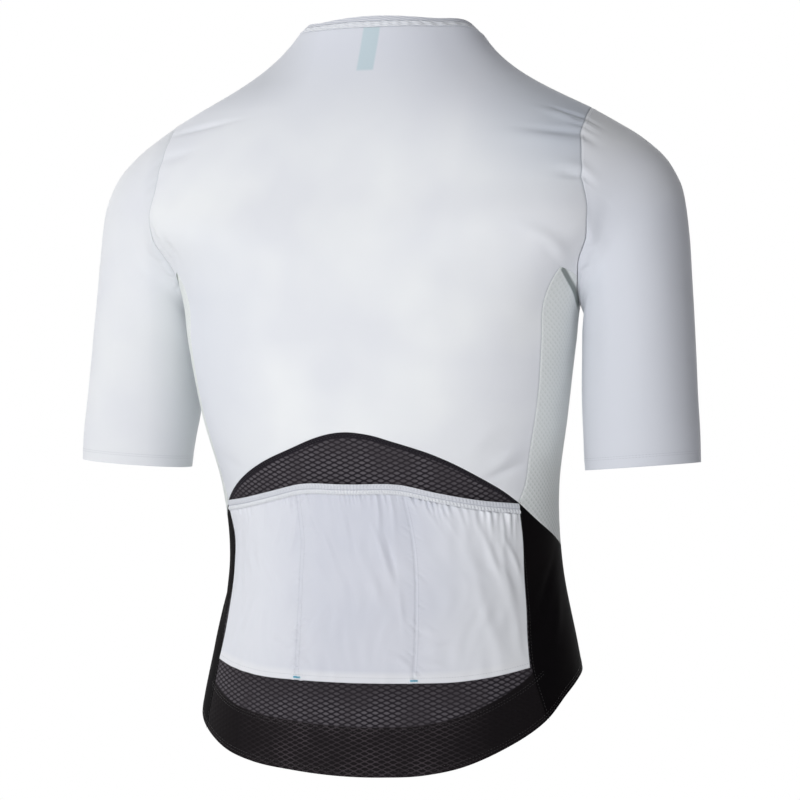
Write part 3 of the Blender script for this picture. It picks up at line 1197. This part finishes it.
# %% Stitch tree
def stitch_tree():
    tree = bpy.data.node_groups.new("Stitches along a path", "GeometryNodeTree")
    sockets = [("Path", "Geometry", None), ("Pitch", "Float", 0.0028), ("Length", "Float", 0.002),
               ("Thickness", "Float", 0.0003), ("Slant", "Float", 0.0),
               ("Unevenness", "Float", 0.08), ("Seed", "Int", 7), ("Thread", "Material", None)]
    for name, kind, value in sockets:
        socket = tree.interface.new_socket(name, in_out="INPUT", socket_type="NodeSocket" + kind)
        if value is not None:
            socket.default_value = value
    tree.interface.new_socket("Stitches", in_out="OUTPUT", socket_type="NodeSocketGeometry")
    given = tree.nodes.new("NodeGroupInput").outputs
    curve = add(tree, "GeometryNodeMeshToCurve", (given["Path"],))
    walked = add(tree, "GeometryNodeResampleCurve", {"Curve": curve, "Length": given["Pitch"]},
                 mode="LENGTH")
    tangent = add(tree, "GeometryNodeInputTangent")
    facing = add(tree, "GeometryNodeInputNamedAttribute", {"Name": "facing"},
                 data_type="FLOAT_VECTOR")
    upright = add(tree, "FunctionNodeAlignRotationToVector", {"Vector": facing.outputs[0]},
                  axis="Z")
    along = add(tree, "FunctionNodeAlignRotationToVector",
                {"Rotation": upright, "Vector": tangent}, axis="X", pivot_axis="Z")
    slant = add(tree, "FunctionNodeAxisAngleToRotation", {"Axis": (0, 0, 1),
                                                          "Angle": given["Slant"]})
    turned = add(tree, "FunctionNodeRotateRotation", {"Rotation": along, "Rotate By": slant},
                 rotation_space="LOCAL")
    size = add(tree, "ShaderNodeCombineXYZ", [given[way] for way in ("Length", "Thickness",
                                                                     "Thickness")])
    low = add(tree, "ShaderNodeMath", (1.0, given["Unevenness"]), operation="SUBTRACT")
    uneven = add(tree, "FunctionNodeRandomValue", {2: low, 3: 1.0, "Seed": given["Seed"]},
                 data_type="FLOAT")
    scale = add(tree, "ShaderNodeVectorMath", {0: size, "Scale": uneven.outputs[1]},
                operation="SCALE")
    thread = add(tree, "GeometryNodeMeshIcoSphere", {"Radius": 0.5, "Subdivisions": 1})
    laid = add(tree, "GeometryNodeInstanceOnPoints",
               {"Points": walked, "Instance": thread, "Rotation": turned, "Scale": scale})
    real = add(tree, "GeometryNodeRealizeInstances", (laid,))
    painted = add(tree, "GeometryNodeSetMaterial", {"Geometry": real,
                                                    "Material": given["Thread"]})
    add(tree, "NodeGroupOutput", (painted,))
    return tree


STITCHES = stitch_tree()
print("stitch tree nodes:", len(STITCHES.nodes))


def path_mesh(name, paths):
    """A mesh of polylines from lists of (points, facing)."""
    points = np.concatenate([p for p, _ in paths])
    facing = np.concatenate([f for _, f in paths])
    edges, first = [], 0
    for path, _ in paths:
        edges += [(first + k, first + k + 1) for k in range(len(path) - 1)]
        first += len(path)
    mesh = bpy.data.meshes.new(name)
    mesh.from_pydata(points.tolist(), edges, [])
    mesh.attributes.new("facing", "FLOAT_VECTOR", "POINT").data.foreach_set("vector",
                                                                            facing.ravel())
    return mesh


def sew(name, paths, finish, slot, **inputs):
    """Lays stitches along the paths and keeps them as one plain mesh."""
    path = show(name + "_path", path_mesh(name + "_path", paths))
    lay = path.modifiers.new("Stitches", "NODES")
    lay.node_group = STITCHES
    identifiers = {item.name: item.identifier for item in STITCHES.interface.items_tree
                   if item.in_out == "INPUT"}
    for key, value in {"Thread": finish, **inputs}.items():
        lay[identifiers[key]] = value
    made = bpy.data.meshes.new_from_object(
        path.evaluated_get(bpy.context.evaluated_depsgraph_get()))
    bpy.data.objects.remove(path, do_unlink=True)
    made.name = name
    print(f"{name}: {len(made.polygons)} faces")
    enlist(show(name, made))


# Polyester sewing thread is matt with a slight shine, and a little uneven in tone.
THREAD_TONE = 0.001111
WHITE_THREAD, GREY_THREAD, BLACK_THREAD, BLUE_THREAD = (
    cloudy_finish(name, 0.55, THREAD_TONE, light, dark, Sheen_Weight=0.2)
    for name, light, dark in (
        ("White polyester thread", "#EDEFF1", "#C9CDD2"),
        ("Grey seam thread", "#B9BDC5", "#9DA2AB"),
        ("Black polyester thread", "#211E21", "#151315"),
        ("Blue polyester thread", "#6FC3DA", "#4AA5C2")))

# %% [markdown]
# Every seam gets its rows of stitches, on the side where a maker would sew them: beside the
# armholes, shoulders, side seams and arch, twice along the hems and cuffs, and down the dividers
# of the pockets. A bar tack in blue thread locks the foot of each divider.

# %% Sewing
THREAD_LIFT = 0.0001
ROW_BESIDE = 0.0016     # one row of stitches, from its seam
TWIN_BESIDE = 0.0014    # each row where there are two, and beside the side seams
TAIL_BESIDE = 0.0015    # beside the tail's side edges
TWIN_ANGLE = 0.9        # each row of stitches from its pocket divider
ZIP_ANGLE = 175.0       # where the front hems' stitches end
POCKET_LIFT = 0.00015
TACK_LIFT = 0.0003
TACK_HALF = 0.0038
CUFF_ROWS = (0.008, 0.0098)
HEM_ROWS = (0.003, 0.0055)
TURN_UP_ROWS = (0.002, 0.0045)


def beside(run, distance):
    """A seam moved aside by a distance along the cloth."""
    scale = np.array([DEGREE, 1.0])
    way = unit(np.gradient(run * scale, axis=0))
    return run + stacked(-way[:, 1], way[:, 0]) * distance / scale


def on_body(run):
    """A path on the body's cloth, with the way it faces."""
    return skin(run, THREAD_LIFT), outward(run[:, 0], run[:, 1])


def body_paths():
    grey, white, black = [], [], []
    for side, armhole in ((1, white), (-1, grey)):
        for rows, distance, kept in ((ARMHOLE_BACK, ROW_BESIDE, armhole),
                                     (ARMHOLE_FRONT, -ROW_BESIDE, armhole),
                                     (SHOULDER_SEAM, TWIN_BESIDE, white),
                                     (SHOULDER_SEAM, -TWIN_BESIDE, white),
                                     (SIDE_BACK, TWIN_BESIDE, white),
                                     (SIDE_FRONT, -TWIN_BESIDE, white),
                                     (SLANT, ROW_BESIDE, white)):
            kept.append(on_body(beside(of_side(rows, 120, side), side * distance)))
        black.append(on_body(beside(of_side(TAIL_EDGE[side], 80, side), side * TAIL_BESIDE)))
    arch = arch_seam()
    black += [on_body(beside(arch, -row * ROW_BESIDE)) for row in (1, 2)]
    hem = hem_spots(-FRONT_SIDE_ANGLE, FRONT_SIDE_ANGLE, 300)
    black += [on_body(hem + np.array([0, up])) for up in HEM_ROWS]
    tail = tail_net()[-1]
    black += [on_body(tail + np.array([0, TURN_UP - down])) for down in TURN_UP_ROWS]
    for side in (1, -1):
        front = hem_spots(side * FRONT_SIDE_ANGLE, side * ZIP_ANGLE, 60)
        white += [on_body(front + np.array([0, up])) for up in HEM_ROWS]
    return grey, white, black


def cuff_paths():
    paths = []
    for side in (1, -1):
        points = sleeve_points(side)
        up = run_lengths(points[::-1], 0)[::-1]
        normals = grid_normals(points, tube=True)
        for height in CUFF_ROWS:
            row = int(np.argmin(np.abs(up[:, 0] - height)))
            share = (height - up[row]) / (up[row - 1] - up[row])
            place = points[row] + (points[row - 1] - points[row]) * share[:, None]
            paths.append((place + normals[row] * THREAD_LIFT, normals[row]))
    return paths


def pocket_paths():
    """Double rows down the dividers, single ones along the edges, and the bar tacks' paths."""
    angle = pocket_spots()[0][0]
    points = pocket_points()
    normals = grid_normals(points)
    rows, tacks = [], []
    for side in (1, -1):
        from_divider = angle - side * DIVIDER_ANGLE
        for aside in (-TWIN_ANGLE, TWIN_ANGLE):
            column = int(np.argmin(np.abs(from_divider - aside)))
            rows.append((points[:, column] + normals[:, column] * POCKET_LIFT,
                         normals[:, column]))
        near = np.abs(from_divider) * DEGREE < TACK_HALF
        tacks.append((points[-2, near] + normals[-2, near] * TACK_LIFT, normals[-2, near]))
    rows.append((points[-3] + normals[-3] * POCKET_LIFT, normals[-3]))
    elastic = elastic_points()
    normals = grid_normals(elastic)
    rows += [(elastic[row] + normals[row] * THREAD_LIFT, normals[row]) for row in (10, 17)]
    return rows, tacks


grey_paths, white_paths, black_paths = body_paths()
divider_paths, tack_paths = pocket_paths()
sew("armhole_stitches", grey_paths, GREY_THREAD, "white_knit")
sew("seam_stitches", white_paths, WHITE_THREAD, "white_knit")
sew("dark_stitches", black_paths, BLACK_THREAD, "black_knit")
sew("cuff_stitches", cuff_paths(), GREY_THREAD, "white_knit")
sew("pocket_stitches", divider_paths, GREY_THREAD, "pocket_knit", Pitch=0.0024, Length=0.0016)
sew("bar_tacks", tack_paths, BLUE_THREAD, "label_satin", Pitch=0.0004, Length=0.0022,
    Thickness=0.0004, Slant=math.pi / 2)

# %% [markdown]
# A nylon zip runs down the centre front: two woven tapes, and between them a coil whose turns
# lock together. The tapes are strips beside the centre line, and the coil's turns are laid by the
# stitch tree, crosswise and half a pitch apart on the two sides, on a flat core that stands for
# the cord inside. The slider and its pull tab are the solids themselves, in die-cast metal.

# %% Zip
COIL_PITCH = 0.0015
COIL_HALF = 0.0010
TAPE_PITCH = 0.002221
BRUSH_MARK = 0.000333
SLIDER_SHARE = 0.55


def zip_strip(first_half, last_half, collar_share, columns, lift=0.0):
    """A strip of the zip between two distances from the centre front, collar top to hem."""
    levels = np.linspace(0, HEM[-1][1], 121)
    heights = by_angle(COLLAR_HEIGHTS, 180.0) * collar_share
    lines = []
    for half in np.linspace(first_half, last_half, columns):
        side = 1 if half > 0 else -1
        angle = side * front_angle(max(abs(half), 0.0005), levels)
        column = skin(stacked(angle, levels), lift)
        column[:, 0] = half
        way = outward(angle[:1], levels[:1])[0] * lift
        foot = collar_point(np.full(len(heights), angle[0]), heights) + way
        foot[:, 0] = half
        lines.append(np.concatenate([foot, column[1:]]))
    return np.stack(lines, 1)


def die_cast_finish():
    """Plated zinc alloy: grey, smooth, with fine brushing along its length and soft edges."""
    finish, tree = new_finish("Plated die-cast zinc", 0.3, Metallic=1.0)
    place = add(tree, "ShaderNodeTexCoord").outputs["Object"]
    long_way = add(tree, "ShaderNodeMapping", {"Vector": place, "Scale": (1.0, 1.0, 0.05)})
    brushed = add(tree, "ShaderNodeTexNoise", {
        "Vector": long_way, "Scale": 1 / BRUSH_MARK, "Detail": 3.0})
    colour = add(tree, "ShaderNodeMix", {0: brushed, 6: "#7A7C80", 7: "#909296"},
                 data_type="RGBA")
    dress(tree, colour, brushed, strength=0.3, distance=0.00003)
    return finish


# The tape is a fine herringbone, drawn as coarse slanted bands; the coil is glossy monofilament.
TAPE = ribbon_finish("Woven zip tape", 0.8, 0.2, "#D5D8DD", "#E6E8EB", 0.0001, bands="DIAGONAL",
                     Scale=WAVE_SPACING * math.sqrt(2) / TAPE_PITCH)
NYLON = cloudy_finish("White nylon coil", 0.35, 0.0025, "#DDE0E4", "#C6CAD0", Coat_Weight=0.1)

tape_share = np.linspace(1.0, 0.0, 9)
inner, outer = ZIP_CHAIN_HALF + SEAM_GAP, ZIP_TAPE_HALF
for word, first, last in (("right", -inner, -outer), ("left", outer, inner)):
    cloth(f"zip_tape_{word}", zip_strip(first, last, tape_share, 7), TAPE,
          upright=False)
chain_share = np.linspace(SLIDER_SHARE, 0.0, 6)
cloth("zip_chain", zip_strip(ZIP_CHAIN_HALF, -ZIP_CHAIN_HALF, chain_share, 5), TAPE,
      upright=False)
paths = []
for half in (-COIL_HALF, COIL_HALF):
    line = zip_strip(half, half + 1e-6, chain_share, 2, lift=0.0004)[:, 0]
    if half > 0:
        line[:-1] = (line[:-1] + line[1:]) / 2
    facing = unit(np.cross(np.array([1.0, 0.0, 0.0]), np.gradient(line, axis=0)))
    paths.append((line, facing * np.sign(-facing[:, 1:2])))
sew("zip_coil_turns", paths, NYLON, "zip_coil", Pitch=COIL_PITCH, Length=0.0024,
    Thickness=0.0010, Slant=math.pi / 2, Unevenness=0.0)
METAL = die_cast_finish()
for node in ("zip_slider", "zip_pull_tab"):
    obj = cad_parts[node]
    for place in obj.material_slots:
        place.material = METAL
    print(node, "finish:", METAL.name)

# %% [markdown]
# Each cloth is declared with the size of its flat cut: the width and length of the rectangle
# that shows, its own area, and how it is held. They follow from the lengths measured along the
# pieces. The pocket cloth is given a little larger, because its gathers take up cloth, and the
# zip's tapes are given 10 mm wide.

# %% Flat cuts
def flat_size(mesh):
    """Area, and the greatest width and length, of the outer face of a cloth."""
    spots, border = np.zeros((2, len(mesh.loops) * 2))
    mesh.uv_layers["cloth"].data.foreach_get("uv", spots)
    mesh.uv_layers["border"].data.foreach_get("uv", border)
    area = sum(face.area for face in mesh.polygons)
    return area, np.ptp(spots[::2]), border.reshape(-1, 2).sum(1).max()


for name, obj in sorted(pieces.items()):
    if "cloth" in obj.data.uv_layers:
        area, width, length = flat_size(obj.data)
        print(f"{name}: {width:.3f} x {length:.3f} m, area {area:.5f}")

# %% [markdown]
# The stage is a plain pale floor under the hem and a white studio round it. Broad soft lights
# stand level with the jersey: two on the viewer's left, a weak one on the right, and three round
# the far left. A weak one stands for the floor's glow, and another lights the jersey's front.
# The floor is two discs, one just over the other: the one that is seen glows a little, so that it
# looks pale from every side, and the one under it only throws back the lamps' light.

# %% Stage, lights and camera
VIEW_AZIMUTH = 197.5
VIEW_HEIGHT = -0.285
VIEW_DISTANCE = 2.4
LENS = 124.15
FRAME_SHIFT = 0.0225
FLOOR_GLOW = 0.36
FLOOR_RADIUS = 1.3
FLOOR_DROP = 0.28       # from the jersey's lowest point
LAMP_SOFTNESS = math.radians(60.0)
Lamp = namedtuple("Lamp", "name azimuth elevation strength colour")
LAMPS = [Lamp(*row) for row in (
    ("key", 157.5, 0.0, 1.03, "#FEFFFF"), ("middle", 182.5, 0.0, 1.20, "#FEFEFF"),
    ("fill", 232.5, 0.0, 0.42, "#FAFAFF"), ("high", 107.5, 45.0, 0.24, "#FFFFFF"),
    ("side", 100.0, 20.0, 0.55, "#FFFFFF"), ("rim", 60.0, 30.0, 0.90, "#FFFFFF"),
    ("floor glow", 170.0, -35.0, 0.30, "#FFFFFF"), ("front", 5.0, 10.0, 1.60, "#FFFFFF"))]


def toward_view(azimuth, elevation):
    """The way from the jersey to a viewer at an azimuth and elevation."""
    a, e = math.radians(azimuth), math.radians(elevation)
    return Vector((math.sin(a) * math.cos(e), -math.cos(a) * math.cos(e), math.sin(e)))


def aim(obj, way, axis):
    """Turns a lamp or camera so that its axis points along a way."""
    obj.rotation_mode = "QUATERNION"
    obj.rotation_quaternion = way.to_track_quat(axis, "Y")


angles = np.linspace(0, 2 * math.pi, 97)[:-1]
for name, paint, glow, seen in (("floor", "Pale floor paint", FLOOR_GLOW, True),
                                ("floor_bounce", "Pale floor paint, unlit", 0.0, False)):
    level = cad_box[0].z - FLOOR_DROP + (LAYER if seen else 0.0)
    mesh = bpy.data.meshes.new(name)
    mesh.from_pydata([(FLOOR_RADIUS * math.cos(a), FLOOR_RADIUS * math.sin(a), level)
                      for a in angles], [], [tuple(range(96))])
    mesh.materials.append(cloudy_finish(paint, 0.9, 0.5, "#F4F4F4", "#EFEFF0",
                                        Emission_Color=(1, 1, 1, 1), Emission_Strength=glow))
    disc = show(name, mesh)
    disc.visible_camera = seen
    disc.visible_diffuse = disc.visible_glossy = disc.visible_shadow = not seen

for lamp in LAMPS:
    data = bpy.data.lights.new(lamp.name, "SUN")
    data.energy = lamp.strength
    data.angle = LAMP_SOFTNESS
    data.color = linear(lamp.colour)[:3]
    aim(show(lamp.name, data), toward_view(lamp.azimuth, lamp.elevation), "Z")

world = bpy.data.worlds.new("White studio")
world.use_nodes = True
world.node_tree.nodes["Background"].inputs["Color"].default_value = (1, 1, 1, 1)
world.node_tree.nodes["Background"].inputs["Strength"].default_value = 1.0
world.cycles_visibility.diffuse = False
bpy.context.scene.world = world

data = bpy.data.cameras.new("view")
data.lens = LENS
data.sensor_width = 36.0
data.shift_x = FRAME_SHIFT
camera = show("view", data)
back = toward_view(VIEW_AZIMUTH, 0.0)
camera.location = Vector((0, 0, VIEW_HEIGHT)) + back * VIEW_DISTANCE
aim(camera, -back, "-Z")
bpy.context.scene.camera = camera
bpy.context.scene.view_settings.view_transform = "Standard"
print("lamps:", len(LAMPS), "camera", VIEW_DISTANCE, "m away at azimuth", VIEW_AZIMUTH)
